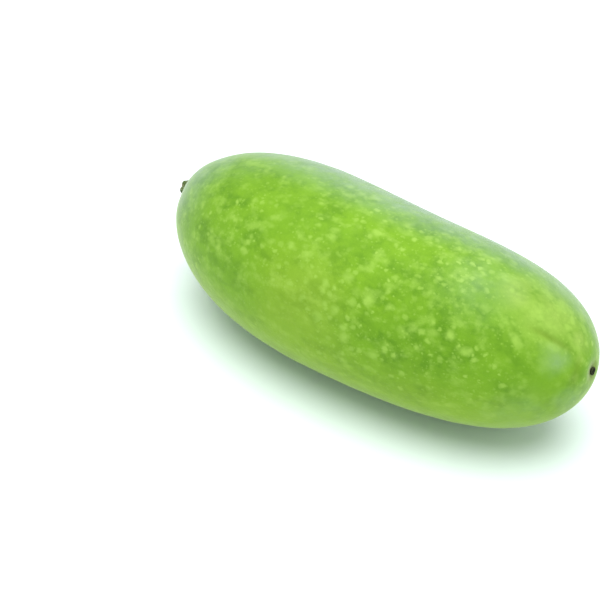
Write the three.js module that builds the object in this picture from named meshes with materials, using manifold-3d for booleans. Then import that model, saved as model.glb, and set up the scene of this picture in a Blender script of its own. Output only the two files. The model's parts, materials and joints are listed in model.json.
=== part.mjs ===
// Wax gourd with its cut stem and its blossom scar, lying on its side. Millimetres, +Z up.
// +X runs along the fruit from the stem end to the blossom end, and z = 0 is the surface it lies on.

import * as THREE from 'three';
import { mergeVertices } from 'three/addons/utils/BufferGeometryUtils.js';
import Module from 'manifold-3d';

// The fruit: a long, full body that is a little thicker towards the stem and curves sideways.
const FRUIT_LENGTH = 302;
const FRUIT_RADIUS = 59;
const FRUIT_BEND = 19;
const STEM_HALF_SWELL = 0.085;
const END_SWELL = 0.077;
const STEM_END_FULLNESS = 2.7;
const BLOSSOM_END_FULLNESS = 3.6;
const UNDERSIDE_FLAT = 1.2;

// The hollows that the stem and the blossom scar sit in.
const STEM_DIMPLE = { depth: 7, width: 15 };
const BLOSSOM_DIMPLE = { depth: 2, width: 6 };

// How far the blossom scar and its hollow lie off the fruit's axis, towards -Y and up.
const SCAR_SIDEWAYS = 5.4;
const SCAR_RISE = 5.5;

// The cut stem: five-angled, flared where it meets the fruit, and leaning as it leaves it.
const STEM_LENGTH = 22;
const STEM_FLARE_RADIUS = 10.5;
const STEM_FLARE_THICKNESS = 0.8;
const STEM_FLARE_HEIGHT = 3.5;
const STEM_NECK_RADIUS = 5.3;
const STEM_EDGE_ROUNDING = 0.8;
const STEM_RIDGES = 5;
const STEM_RIDGE_SHARE = 0.12;
const STEM_DROOP = 6;
const STEM_LEAN = 4;

// The corky button where the blossom fell off.
const SCAR_RADIUS = 2.5;
const SCAR_HEIGHT = 2.3;

const GAP = 0.3;
const HALF_LENGTH = FRUIT_LENGTH / 2;

const skinMaterial = new THREE.MeshStandardMaterial({ color: 0x8ebb50, roughness: 0.45, metalness: 0 });
const stemMaterial = new THREE.MeshStandardMaterial({ color: 0x57682f, roughness: 0.8, metalness: 0 });
const scarMaterial = new THREE.MeshStandardMaterial({ color: 0x1c210e, roughness: 0.9, metalness: 0 });

// Radius of the fruit at a place along its axis, from -1 at the stem end to 1 at the blossom end.
function fruitRadius(place) {
  const fullness = place < 0 ? STEM_END_FULLNESS : BLOSSOM_END_FULLNESS;
  const body = 1 - STEM_HALF_SWELL * place + END_SWELL * place ** 3;
  return FRUIT_RADIUS * body * Math.sqrt(1 - Math.abs(place) ** fullness);
}

function dimpleDepth(dimple, radius) {
  return dimple.depth * Math.exp(-((radius / dimple.width) ** 2));
}

// How far the rounded end of the fruit has fallen back at a distance from the axis.
function endDome(fullness, radius) {
  return HALF_LENGTH * (1 - (1 - (radius / FRUIT_RADIUS) ** 2) ** (1 / fullness));
}

// How far the skin stands out past the floor of a dimple, at a distance from the dimple's middle.
function skinAboveDimple(dimple, fullness, radius) {
  return dimple.depth - dimpleDepth(dimple, radius) - endDome(fullness, radius);
}

// Half of the fruit's outline, as distances from the axis against distances along it. The last rings
// before the blossom end stand closer together, because the scar's small hollow is pressed in there.
function fruitProfile(rings, fineFrom, fineSteps) {
  const profile = [];
  let ring = 0;
  while (ring <= rings) {
    const place = Math.sin(Math.PI * (ring / rings - 0.5));
    const radius = fruitRadius(place);
    const sunk = place < 0 ? dimpleDepth(STEM_DIMPLE, radius) : 0;
    profile.push(new THREE.Vector2(radius, HALF_LENGTH * (1 + place) + sunk));
    ring += ring < fineFrom ? 1 : 1 / fineSteps;
  }
  return profile;
}

// The stem's outline: a base that follows the dimple, a flare that fades into the neck, and a cut end.
function stemProfile() {
  const profile = [];
  const baseSteps = 5;
  for (let step = 0; step <= baseSteps; step++) {
    const radius = STEM_FLARE_RADIUS * step / baseSteps;
    profile.push(new THREE.Vector2(radius, GAP + skinAboveDimple(STEM_DIMPLE, STEM_END_FULLNESS, radius)));
  }
  const flareBottom = profile[baseSteps].y + STEM_FLARE_THICKNESS;
  const flareSteps = 9;
  for (let step = 0; step <= flareSteps; step++) {
    const along = THREE.MathUtils.lerp(flareBottom, STEM_LENGTH - STEM_EDGE_ROUNDING, step / flareSteps);
    const flare = Math.exp(-(along - flareBottom) / STEM_FLARE_HEIGHT);
    const radius = STEM_NECK_RADIUS + (STEM_FLARE_RADIUS - STEM_NECK_RADIUS) * flare;
    profile.push(new THREE.Vector2(radius, along));
  }
  profile.push(new THREE.Vector2(STEM_NECK_RADIUS - STEM_EDGE_ROUNDING, STEM_LENGTH));
  profile.push(new THREE.Vector2(0, STEM_LENGTH));
  return profile;
}

// The scar's outline: a floor that follows its dimple under a low dome.
function scarProfile() {
  const profile = [];
  const steps = 5;
  for (let step = 0; step <= steps; step++) {
    const radius = SCAR_RADIUS * step / steps;
    profile.push(new THREE.Vector2(radius, GAP + skinAboveDimple(BLOSSOM_DIMPLE, BLOSSOM_END_FULLNESS, radius)));
  }
  const rim = profile[steps].y;
  for (let step = 1; step <= steps; step++) {
    const angle = Math.PI / 2 * step / steps;
    profile.push(new THREE.Vector2(SCAR_RADIUS * Math.cos(angle), rim + (SCAR_HEIGHT - rim) * Math.sin(angle)));
  }
  profile[profile.length - 1].x = 0;
  return profile;
}

// Turns an outline into a round body whose axis follows a curve of that length. Ridges along the
// body, if there are any, stand out and in by a share of its radius.
function bodyAlong(curve, length, profile, segments, ridges = 0, ridgeShare = 0) {
  const geometry = new THREE.LatheGeometry(profile, segments);
  const positions = geometry.attributes.position;
  const worldUp = new THREE.Vector3(0, 0, 1);
  for (let i = 0; i < positions.count; i++) {
    const turned = new THREE.Vector3().fromBufferAttribute(positions, i);
    const angle = Math.atan2(turned.x, turned.z);
    const reach = Math.hypot(turned.x, turned.z) * (1 + ridgeShare * Math.cos(ridges * angle));
    const place = THREE.MathUtils.clamp(turned.y / length, 0, 1);
    const tangent = curve.getTangent(place);
    const side = new THREE.Vector3().crossVectors(tangent, worldUp).normalize();
    const up = new THREE.Vector3().crossVectors(side, tangent);
    const point = curve.getPoint(place).addScaledVector(tangent, turned.y - place * length);
    point.addScaledVector(side, reach * Math.cos(angle));
    point.addScaledVector(up, reach * Math.sin(angle));
    positions.setXYZ(i, point.x, point.y, point.z);
  }
  geometry.deleteAttribute('normal');
  geometry.deleteAttribute('uv');
  return closed(geometry);
}

// Welds a geometry's doubled corners, drops the slivers left at its poles, and faces it outwards.
function closed(geometry) {
  const welded = mergeVertices(geometry, 1e-4);
  const corners = welded.index.array;
  const kept = [];
  for (let i = 0; i < corners.length; i += 3) {
    const [a, b, c] = corners.subarray(i, i + 3);
    if (a !== b && b !== c && c !== a) {
      kept.push(a, b, c);
    }
  }
  if (enclosedVolume(welded.attributes.position, kept) < 0) {
    kept.reverse();
  }
  welded.setIndex(kept);
  return welded;
}

function enclosedVolume(positions, corners) {
  const [a, b, c] = [new THREE.Vector3(), new THREE.Vector3(), new THREE.Vector3()];
  let volume = 0;
  for (let i = 0; i < corners.length; i += 3) {
    a.fromBufferAttribute(positions, corners[i]);
    b.fromBufferAttribute(positions, corners[i + 1]);
    c.fromBufferAttribute(positions, corners[i + 2]);
    volume += a.dot(b.cross(c)) / 6;
  }
  return volume;
}

const wasm = await Module();
wasm.setup();

function toSolid(geometry) {
  const vertProperties = new Float32Array(geometry.attributes.position.array);
  const triVerts = new Uint32Array(geometry.index.array);
  return new wasm.Manifold(new wasm.Mesh({ numProp: 3, vertProperties, triVerts }));
}

function toGeometry(solid) {
  const mesh = solid.getMesh();
  const geometry = new THREE.BufferGeometry();
  geometry.setAttribute('position', new THREE.BufferAttribute(mesh.vertProperties, 3));
  geometry.setIndex(new THREE.BufferAttribute(mesh.triVerts, 1));
  return geometry;
}

// The fruit's axis runs through z = 0 here, and both its ends curve towards +Y.
const fruitAxis = new THREE.QuadraticBezierCurve3(
  new THREE.Vector3(-HALF_LENGTH, FRUIT_BEND, 0),
  new THREE.Vector3(0, -FRUIT_BEND, 0),
  new THREE.Vector3(HALF_LENGTH, FRUIT_BEND, 0),
);

// Where the blossom scar sits: a point on the skin a little off the axis, and the way out of it.
function scarSeat() {
  const along = fruitAxis.getTangent(1);
  const off = new THREE.Vector3().crossVectors(along, new THREE.Vector3(0, 0, 1));
  off.multiplyScalar(SCAR_SIDEWAYS);
  off.z += SCAR_RISE;
  const reach = off.length();
  const point = fruitAxis.getPoint(1).add(off);
  point.addScaledVector(along, -endDome(BLOSSOM_END_FULLNESS, reach));
  const step = 0.1;
  const fall = endDome(BLOSSOM_END_FULLNESS, reach + step) - endDome(BLOSSOM_END_FULLNESS, reach);
  const outward = along.clone().addScaledVector(off, fall / step / reach).normalize();
  return { point, outward };
}

// Presses a round hollow into a body, around a point on its skin.
function pressDimple(geometry, seat, dimple) {
  const positions = geometry.attributes.position;
  const corner = new THREE.Vector3();
  for (let i = 0; i < positions.count; i++) {
    corner.fromBufferAttribute(positions, i);
    corner.addScaledVector(seat.outward, -dimpleDepth(dimple, corner.distanceTo(seat.point)));
    positions.setXYZ(i, corner.x, corner.y, corner.z);
  }
}

// The fruit lies on a patch that is pressed flat along its underside.
function makeFruit() {
  const skin = bodyAlong(fruitAxis, FRUIT_LENGTH, fruitProfile(44, 42, 4), 56);
  pressDimple(skin, scarSeat(), BLOSSOM_DIMPLE);
  const whole = toSolid(skin);
  const ground = new THREE.BoxGeometry(2 * FRUIT_LENGTH, 2 * FRUIT_LENGTH, FRUIT_LENGTH);
  ground.translate(0, 0, UNDERSIDE_FLAT - FRUIT_RADIUS - FRUIT_LENGTH / 2);
  ground.deleteAttribute('normal');
  ground.deleteAttribute('uv');
  const fruit = new THREE.Mesh(toGeometry(whole.subtract(toSolid(closed(ground)))), skinMaterial);
  fruit.name = 'fruit';
  return fruit;
}

// The stem leaves along the fruit's axis, then droops and leans to one side.
function makeStem() {
  const outward = fruitAxis.getTangent(0).negate();
  const root = fruitAxis.getPoint(0).addScaledVector(outward, -STEM_DIMPLE.depth);
  const middle = root.clone().addScaledVector(outward, STEM_LENGTH / 2);
  const tip = root.clone().addScaledVector(outward, STEM_LENGTH);
  tip.add(new THREE.Vector3(0, -STEM_LEAN, -STEM_DROOP));
  const stemAxis = new THREE.QuadraticBezierCurve3(root, middle, tip);
  const body = bodyAlong(stemAxis, STEM_LENGTH, stemProfile(), 40, STEM_RIDGES, STEM_RIDGE_SHARE);
  const stem = new THREE.Mesh(body, stemMaterial);
  stem.name = 'stem';
  return stem;
}

function makeBlossomScar() {
  const { point, outward } = scarSeat();
  const root = point.clone().addScaledVector(outward, -BLOSSOM_DIMPLE.depth);
  const scarAxis = new THREE.LineCurve3(root, root.clone().addScaledVector(outward, SCAR_HEIGHT));
  const scar = new THREE.Mesh(bodyAlong(scarAxis, SCAR_HEIGHT, scarProfile(), 24), scarMaterial);
  scar.name = 'blossom_scar';
  return scar;
}

const waxGourd = new THREE.Group();
waxGourd.add(makeFruit(), makeStem(), makeBlossomScar());

// The origin is under the middle of the whole thing, on the surface that it lies on.
const box = new THREE.Box3().setFromObject(waxGourd);
const middle = box.getCenter(new THREE.Vector3());
waxGourd.position.set(-middle.x, -middle.y, -box.min.z);

export default waxGourd;
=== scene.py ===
"""A whole wax gourd lying on its side: the fruit, its cut stem with fine hairs, and its blossom scar.

Metres, +Z up. +X runs along the fruit from the stem end to the blossom end.
"""

import json
import math
import random

import bpy
from mathutils import Matrix, Vector
from mathutils.bvhtree import BVHTree

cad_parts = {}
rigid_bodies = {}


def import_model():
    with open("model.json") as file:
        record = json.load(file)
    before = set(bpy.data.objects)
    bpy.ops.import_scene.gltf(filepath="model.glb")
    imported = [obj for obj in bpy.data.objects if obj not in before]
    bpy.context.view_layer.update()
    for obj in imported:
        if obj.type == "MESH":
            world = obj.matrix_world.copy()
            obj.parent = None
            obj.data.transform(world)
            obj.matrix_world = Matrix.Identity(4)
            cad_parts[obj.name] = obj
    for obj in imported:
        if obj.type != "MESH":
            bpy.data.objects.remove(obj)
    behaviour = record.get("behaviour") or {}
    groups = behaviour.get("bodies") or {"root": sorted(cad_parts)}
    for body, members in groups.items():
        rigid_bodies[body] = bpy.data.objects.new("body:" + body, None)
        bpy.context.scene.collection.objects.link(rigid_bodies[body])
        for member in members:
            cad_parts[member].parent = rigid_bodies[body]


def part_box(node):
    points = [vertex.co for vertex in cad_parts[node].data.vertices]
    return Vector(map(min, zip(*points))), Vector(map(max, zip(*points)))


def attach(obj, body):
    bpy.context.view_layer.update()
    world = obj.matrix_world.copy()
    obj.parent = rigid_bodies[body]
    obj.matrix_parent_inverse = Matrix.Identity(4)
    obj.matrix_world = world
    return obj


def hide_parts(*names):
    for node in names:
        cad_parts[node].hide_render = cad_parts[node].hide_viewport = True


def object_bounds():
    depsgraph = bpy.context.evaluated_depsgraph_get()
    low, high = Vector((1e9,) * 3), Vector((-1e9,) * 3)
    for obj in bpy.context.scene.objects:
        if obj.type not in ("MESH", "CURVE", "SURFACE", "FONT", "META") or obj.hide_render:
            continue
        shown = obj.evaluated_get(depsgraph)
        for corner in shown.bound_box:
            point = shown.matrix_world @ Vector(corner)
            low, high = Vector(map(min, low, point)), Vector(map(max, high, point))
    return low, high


bl_info = {
    "name": "Wax Gourd",
    "version": (1, 0, 0),
    "blender": (4, 5, 0),
    "location": "View3D > Sidebar > Wax Gourd",
    "description": "Builds a whole wax gourd with its cut stem and its blossom scar",
    "category": "Add Mesh",
}

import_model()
CAD_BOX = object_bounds()
FRUIT_LOW, FRUIT_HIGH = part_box("fruit")
MM = 0.001
UP = Vector((0, 0, 1))

# ---- sizes that no setting holds
# A place is where something lies along the fruit, from -1 at the stem end to 1 at the blossom end.
# An angle around the fruit is in degrees: 0 faces -Y and 90 is up.

# Depth and width of the hollows that the stem and the blossom scar sit in.
STEM_DIMPLE = (7 * MM, 15 * MM)
BLOSSOM_DIMPLE = (2 * MM, 6 * MM)
# How far the blossom scar lies off the fruit's axis, to the side and up.
SCAR_OFF_AXIS = (5.4 * MM, 5.5 * MM)

FRUIT_SIDES = 80
FRUIT_RINGS = 48
# Vertices nearer to the ends than this have no sure angle around the fruit.
POLE_PLACE = 0.99995
MAP_EDGE = 0.004
FLAT_DEPTH = 0.9 * MM
LUMP_SIZE = 60 * MM
UNEVEN_SIZE = 15 * MM
UNEVEN_SHARE = 0.4
WELD_DISTANCE = 1e-6

# Where each shape pressed into the skin lies around the fruit, and how wide it is, in degrees.
BLOSSOM_FURROWS = (60, 118, 171, -130, -72, -12)
STEM_FURROWS = (30, 98, 163, -120, -52)
FURROW_WIDTH = 14
SHOULDER_ANGLES = (128,)
SHOULDER_WIDTH = 30
SAG_ANGLES = (-50, -130)
SAG_WIDTH = 32
CREASE_ANGLE = 58.3
CREASE_START = 0.77
CREASE_TURN = 150
CREASE_WIDTH = 1.9 * MM
# The crease's angle stops widening where the fruit is thinner than this share of its radius.
CREASE_THINNEST = 0.2
FOLD_PLACE = 0.95
FOLD_WIDTH = 0.012
# How much of the fold shows as painted shade in the skin's colour.
FOLD_SHADE = 0.7

# Where those shapes fade in and out: pairs of a value where one is 0 and a value where it is 1.
BLOSSOM_FURROW_SPAN = ((0.4, 0.8), (0.99, 0.9))
STEM_FURROW_SPAN = ((-0.4, -0.85),)
CREASE_SPAN = ((0.74, 0.83), (0.95, 0.87))
FOLD_ARC = ((5, 28), (62, 50))
SHOULDER_SPAN = ((-0.8, -0.3), (0.35, -0.1))
SAG_SPAN = ((1.0, 0.7),)

# Patches of skin: place, angle, reach in millimetres, and strength from 0 to 1.
FRESH_PATCHES = ((-0.3, 88, 45, 0.4), (0.1, 55, 45, 0.4), (0.27, 43, 18, 0.8))
# Yellower skin: the patches at the blossom end are partly a painted highlight, and the low one near the
# middle is partly painted warm bounce light.
BLUSH_AND_HIGHLIGHT_PATCHES = ((0.82, 80, 36, 0.75), (0.93, 72, 12, 0.8), (0.7, 78, 20, 0.9), (0.0, 24, 40, 0.25))
# A yellower tint low near the middle: partly the skin's own colour, partly painted warm bounce light.
WARM_TINT_AND_BOUNCE_PATCHES = ((-0.05, 14, 55, 0.3),)
# Darker patches: most are darker skin, but the three at the stem end (-0.78, -0.56, -0.25) paint shade
# falling on that end.
DUSKY_AND_SHADED_PATCHES = (
    (0.45, 22, 62, 0.6), (0.96, 30, 10, 0.55), (-0.78, 46, 54, 1.0), (-0.25, 66, 50, 0.4),
    (-0.56, 60, 46, 0.6), (0.62, 104, 34, 0.27), (-0.42, 98, 46, 0.45), (0.28, 93, 24, 0.4),
    (0.84, 96, 20, 0.4), (0.78, 14, 30, 0.45),
)
# Bloom patches, partly real waxy bloom and partly painted highlights and reflections, such as the pale patch
# near the blossom end (0.88, 41) and the one on the top rim (0.42, 118).
BLOOM_AND_HIGHLIGHT_PATCHES = (
    (-0.93, 80, 68, 0.95), (0.88, 41, 15, 0.4), (0.56, 76, 32, 0.25), (0.95, -15, 18, 0.35),
    (-0.6, 94, 36, 0.2), (0.42, 118, 22, 0.3), (0.8, -22, 32, 0.22),
)
PLAIN_PATCHES = (
    (-0.28, 68, 30, 0.65), (-0.55, 72, 40, 0.35), (0.05, 64, 18, 0.6), (-0.05, 5, 22, 0.4),
    (0.86, 20, 28, 0.8), (0.72, 0, 26, 0.2),
)
FLECKED_PATCHES = (
    (0.05, 92, 34, 0.9), (0.5, 84, 50, 1.0), (-0.12, 42, 34, 0.9), (0.26, 50, 26, 1.0),
    (0.14, 26, 46, 0.9), (-0.34, 45, 20, 1.0), (0.7, 15, 40, 0.6), (-0.16, 84, 16, 0.9),
)

# Flecks of three sizes: the cell that a fleck sits in, its largest radius as a share of the cell, the
# share of cells that has one, how solid a fleck is, its strength away from the crowds, and what the
# crowds add to that.
FLECK_SIZES = (
    (8.5 * MM, 0.42, 0.9, 0.25, 0.25, 0.75),
    (4.6 * MM, 0.44, 0.8, 0.40, 0.25, 0.65),
    (2.0 * MM, 0.40, 0.6, 0.60, 0.30, 0.20),
)

# How strongly the markings of the skin, and the painted shade among them, show, from 0 to 1.
BAND_STRENGTH = 0.5
BLOTCH_STRENGTH = 0.30
NET_STRENGTH = 0.13
NET_IN_BLOTCHES = 0.2
GRAIN_STRENGTH = 0.1
DEEP_EVERYWHERE = 0.05
DUSK_AND_SHADE_STRENGTH = 0.45
BLUSH_AND_HIGHLIGHT_CLEARS = 0.4
CLOUD_STRENGTH = 0.48
CROWD_STRENGTH = 0.8
LOW_SIDE_STRENGTH = 0.5
CREASE_SHADE_STRENGTH = 0.55
CORK_STRENGTH = 0.6
# What is left of the mottling and of the pale clouds where the skin is plain, and of the bloom
# and its painted sheen between its powdery spots.
PLAIN_MOTTLING = 0.5
PLAIN_CLOUDS = 0.15
THIN_BLOOM = 0.55

# How far behind the axis the bloom at the back starts and is full, where it thins again, and to what.
# The bloom at the back also paints the pale reflection along the top rim.
BACK_START, BACK_FULL = -12 * MM, 36 * MM
BACK_THINS, BACK_THIN, BACK_LEFT = 38 * MM, 58 * MM, 0.55
BACK_SKEW = 5 * MM
# Heights where the paler low side, partly ground spot and partly painted bounce light, starts and is full,
# and where it fades again above the floor, which paints shade at the contact.
LOW_SIDE_START, LOW_SIDE_FULL = 80 * MM, 30 * MM
LOW_SIDE_FOOT, LOW_SIDE_RISEN, LOW_SIDE_LEFT = 10 * MM, 34 * MM, 0.2
LOW_SIDE_RAGGED = 8 * MM
# For each end: how far from its dimple's floor the corky rim starts and is full.
CORK_RIMS = ((-1, 15 * MM, 9 * MM), (1, 11 * MM, 4 * MM))
CORK_RAGGED = 3 * MM
RELIEF = 0.5 * MM

STEM_NAME = "wax_gourd_stem"
STEM_SIDES = 40
STEM_RIDGES = 5
# How far along the stem each of its rings lies, as a share of its length.
STEM_RINGS = (0.03, 0.07, 0.12, 0.2, 0.3, 0.42, 0.56, 0.7, 0.84, 0.95, 0.98, 1.0)
FLARE_HEIGHT = 3.2 * MM
STEM_END_SWELL = 0.08
# Where the stem's rounded edge starts, how long it is, and how much it takes off the radius.
STEM_EDGE = (0.95, 0.05, 0.14)
# The steps of the cut face: width as a share of the radius, and height.
CUT_FACE_STEPS = ((0.14, 0.0), (0.12, -0.5 * MM), (0.28, 0.2 * MM), (0.16, -1.0 * MM))
CUT_FACE_FADE = (0.85, 1.1)
FIBRE_SIZE = 2.5 * MM
FIBRE_HEIGHT = 0.45 * MM
STEM_BROWN = (0.095, 0.080, 0.032)
STEM_FOOT = (0.120, 0.200, 0.040)
STEM_FOOT_REACH = (9 * MM, 3 * MM)
PALE_FIBRE = 1.9
DARK_RAY = 0.45

BRISTLE_LENGTH = 1.5 * MM
BRISTLE_RADIUS = 0.11 * MM
BRISTLE_SIDES = 4
# How much thinner each length of a bristle is than the last, and how far it leans.
BRISTLE_STEPS = ((0.75, 0.05), (0.7, 0.12), (0.5, 0.2))
BRISTLE_SEED = 11
BRISTLE_SPAN = (0.16, 0.93)
BRISTLE_LEAN = (0.2, 0.9)
BRISTLE_SCALE = (0.5, 1.2)
BRISTLE_SUNK = 0.1 * MM
BRISTLE_SHADES = ((0.330, 0.360, 0.190), (0.560, 0.560, 0.380))

SCAR_SIDES = 24
SCAR_WALL = 0.8
# The steps of the scar's top: width as a share of its radius, and height as a share of its height.
SCAR_STEPS = ((0.08, 0.15), (0.16, 0.0), (0.16, -0.3), (0.2, -0.12), (0.1, 0.1), (0.1, 0.3))
CORK_LUMPS = (2.6 * MM, 0.5 * MM)
CORK_GRAIN = (0.7 * MM, 0.25 * MM)
SCAR_SHADES = ((0.004, 0.007, 0.002), (0.020, 0.026, 0.009))

FLOOR_SIZE = 12.0
FLOOR_SHADES = ((0.80, 0.90, 0.875), (0.82, 0.92, 0.895))
SKY_COLOUR = (0.97, 0.985, 1.0, 1.0)
SKY_STRENGTH = 0.75
LAMP_PLACE = Vector((0.1, -0.1, 2.2))
LAMP_AIM = Vector((0, 0, 0.05))
LAMP_SIZE = 2.6
LAMP_POWER = 66.0
# How far to the right of and above the middle of the gourd the camera aims.
AIM_RIGHT = -33.2 * MM
AIM_UP = -11.4 * MM


# ---- settings

def size_setting(name, description, default):
    """A length, in metres."""
    return bpy.props.FloatProperty(
        name=name, description=description, default=default, subtype="DISTANCE", unit="LENGTH",
    )


def angle_setting(name, description, degrees):
    return bpy.props.FloatProperty(
        name=name, description=description, default=math.radians(degrees),
        subtype="ANGLE", unit="ROTATION",
    )


def share_setting(name, description, default):
    """A share of something, from 0 to 1."""
    return bpy.props.FloatProperty(
        name=name, description=description, default=default, subtype="FACTOR", min=0.0, max=1.0,
    )


def colour_setting(name, description, default):
    """A colour, as linear red, green and blue."""
    return bpy.props.FloatVectorProperty(
        name=name, description=description, default=default,
        subtype="COLOR", size=3, min=0.0, max=1.0,
    )


class FruitSettings(bpy.types.PropertyGroup):
    """Sizes of the fruit"""

    length: size_setting("Length", "From the root of the stem to the blossom end", 302 * MM)
    radius: size_setting("Radius", "Radius halfway along the fruit", 59 * MM)
    bend: size_setting("Bend", "How far each end curves to the side", 19 * MM)
    stem_half_swell: share_setting(
        "Stem half swell", "How much thicker the stem half is, as a share of the radius", 0.085,
    )
    end_swell: share_setting(
        "End swell", "How much of that swell is lost again towards the ends", 0.077,
    )
    stem_fullness: bpy.props.FloatProperty(
        name="Stem end fullness", description="Bluntness of the stem end", default=2.7, min=1.0,
    )
    blossom_fullness: bpy.props.FloatProperty(
        name="Blossom end fullness", description="Bluntness of the blossom end", default=3.6, min=1.0,
    )
    lumps: size_setting("Lumps", "Height of the gentle unevenness of the flesh", 0.4 * MM)
    furrows: size_setting("Furrows", "Depth of the shallow furrows that run in from both ends", 0.5 * MM)
    crease: size_setting("Crease", "Depth of the one sharp crease near the blossom end", 0.6 * MM)
    fold: size_setting("Fold", "Depth of the faint fold that carries the crease on around the end", 0.35 * MM)
    shoulder: size_setting("Shoulder", "How far the far side of the stem half bulges", 0.9 * MM)
    sag: size_setting("Sag", "How far the flesh bulges low on both sides, where the fruit lies", 0.7 * MM)


class SkinSettings(bpy.types.PropertyGroup):
    """Colours and finish of the skin"""

    green: colour_setting("Green", "Main colour of the skin", (0.169, 0.348, 0.021))
    fresh_green: colour_setting(
        "Fresh green", "Brighter green of the broad bands", (0.197, 0.385, 0.019),
    )
    deep_green: colour_setting("Deep green", "Colour of the darker mottling", (0.096, 0.231, 0.013))
    fleck: colour_setting("Fleck", "Colour of the pale flecks", (0.297, 0.491, 0.077))
    # Partly the colour of real waxy bloom and partly painted sheen along the top rim.
    bloom_and_sheen: colour_setting("Bloom", "Colour of the waxy bloom", (0.254, 0.364, 0.272))
    # Yellower skin, partly a painted highlight at the blossom end.
    blush_and_highlight: colour_setting("Blush", "Yellower skin near the blossom end", (0.296, 0.445, 0.088))
    # Paler, yellower skin low down: partly the real ground spot, partly painted bounce light.
    ground_spot_and_bounce: colour_setting(
        "Ground spot", "Colour of the skin that the fruit lies on", (0.276, 0.400, 0.032),
    )
    # This colour is painted shade along the crease and the fold.
    crease: colour_setting(
        "Crease", "Colour in the sharp crease near the blossom end", (0.132, 0.228, 0.018),
    )
    cork: colour_setting(
        "Cork", "Colour of the corky rims round the stem and the blossom scar", (0.200, 0.235, 0.060),
    )
    roughness: share_setting("Roughness", "Roughness of the waxy skin", 0.45)


class StemSettings(bpy.types.PropertyGroup):
    """Sizes and colours of the cut stem"""

    length: size_setting("Length", "From the floor of the dimple to the cut end", 22 * MM)
    neck: size_setting("Neck radius", "Radius of the stem past its flare", 5.3 * MM)
    flare: size_setting("Flare radius", "Radius where the stem meets the fruit", 10.5 * MM)
    droop: size_setting("Droop", "How far the cut end hangs below the fruit's axis", 6 * MM)
    lean: size_setting("Lean", "How far the cut end leans to the side", 4 * MM)
    ridge: share_setting("Ridges", "Height of the five ridges, as a share of the radius", 0.13)
    bristles: bpy.props.IntProperty(
        name="Bristles", description="Number of short stiff hairs on the stem",
        default=320, min=1, subtype="UNSIGNED",
    )
    # Dark: partly the dried stem's own green, partly painted shade.
    green: colour_setting("Green", "Main colour of the stem", (0.048, 0.078, 0.018))
    cut: colour_setting("Cut face", "Colour of the dried cut face", (0.230, 0.200, 0.100))


class ScarSettings(bpy.types.PropertyGroup):
    """Sizes and colour of the blossom scar"""

    radius: size_setting("Radius", "Radius of the corky button", 2.5 * MM)
    height: size_setting("Height", "Height of the button over the floor of its dimple", 2.3 * MM)
    cork: colour_setting("Cork", "Colour of the dried rim", (0.062, 0.066, 0.030))


class StageSettings(bpy.types.PropertyGroup):
    """Place and view of the camera"""

    azimuth: angle_setting(
        "Azimuth", "How far the camera stands round from the side of the fruit", 38.6,
    )
    elevation: angle_setting("Elevation", "How far the camera looks down", 38)
    distance: size_setting("Distance", "From the camera to what it looks at", 0.870)
    field: angle_setting("Field of view", "Width of the camera's view", 24)


# ---- shape of the fruit

def fruit_radius(fruit, place):
    """Radius of the fruit at a place along its axis."""
    fullness = fruit.stem_fullness if place < 0 else fruit.blossom_fullness
    body = 1 - fruit.stem_half_swell * place + fruit.end_swell * place ** 3
    return fruit.radius * body * math.sqrt(max(0.0, 1 - abs(place) ** fullness))


def dimpled_place(fruit, place):
    """The same place moved inwards by the stem's dimple."""
    depth, width = STEM_DIMPLE
    sunk = depth * math.exp(-(fruit_radius(fruit, place) / width) ** 2)
    return place + sunk / (fruit.length / 2) if place < 0 else place


def axis_point(fruit, place):
    """A point on the curved axis, before the fruit is put where it lies."""
    return Vector((place * fruit.length / 2, fruit.bend * place ** 2, 0.0))


def axis_turn(fruit, place):
    """How far the axis is turned about +Z at a place."""
    return math.atan2(2 * fruit.bend * place, fruit.length / 2)


def axis_origin(fruit):
    """Where the middle of the fruit's axis lies, from the CAD fruit's box."""
    low = Vector((1.0, 1.0, 0.0))
    top = 0.0
    steps = 200
    for step in range(steps + 1):
        place = math.sin(math.pi * (step / steps - 0.5))
        radius = fruit_radius(fruit, place)
        sunk = dimpled_place(fruit, place)
        centre = axis_point(fruit, sunk)
        turn = axis_turn(fruit, sunk)
        low.x = min(low.x, centre.x - abs(radius * math.sin(turn)))
        low.y = min(low.y, centre.y - radius * math.cos(turn))
        top = max(top, radius)
    return Vector((FRUIT_LOW.x - low.x, FRUIT_LOW.y - low.y, FRUIT_HIGH.z - top))


def tip(fruit, end):
    """Where the axis leaves the fruit, and its direction out, for -1 (stem) or 1 (blossom)."""
    turn = axis_turn(fruit, end)
    outward = Vector((math.cos(turn), math.sin(turn), 0.0)) * end
    return axis_origin(fruit) + axis_point(fruit, end), outward


def end_dome(fruit, reach):
    """How far the rounded blossom end has fallen back at a distance from the axis."""
    return fruit.length / 2 * (1 - (1 - (reach / fruit.radius) ** 2) ** (1 / fruit.blossom_fullness))


def scar_seat(fruit):
    """The point on the skin where the blossom scar sits, a little off the axis, and the way out of it."""
    point, along = tip(fruit, 1)
    sideways, rise = SCAR_OFF_AXIS
    off = Vector((along.y * sideways, -along.x * sideways, rise))
    reach = off.length
    step = 0.1 * MM
    slope = (end_dome(fruit, reach + step) - end_dome(fruit, reach)) / step
    outward = (along + off * (slope / reach)).normalized()
    return point + off - along * end_dome(fruit, reach), outward


def end_frame(fruit, end):
    """The floor of an end's dimple and the way out of it, for -1 (stem) or 1 (blossom)."""
    point, outward = tip(fruit, -1) if end < 0 else scar_seat(fruit)
    depth = (STEM_DIMPLE if end < 0 else BLOSSOM_DIMPLE)[0]
    return point - outward * depth, outward


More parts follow.
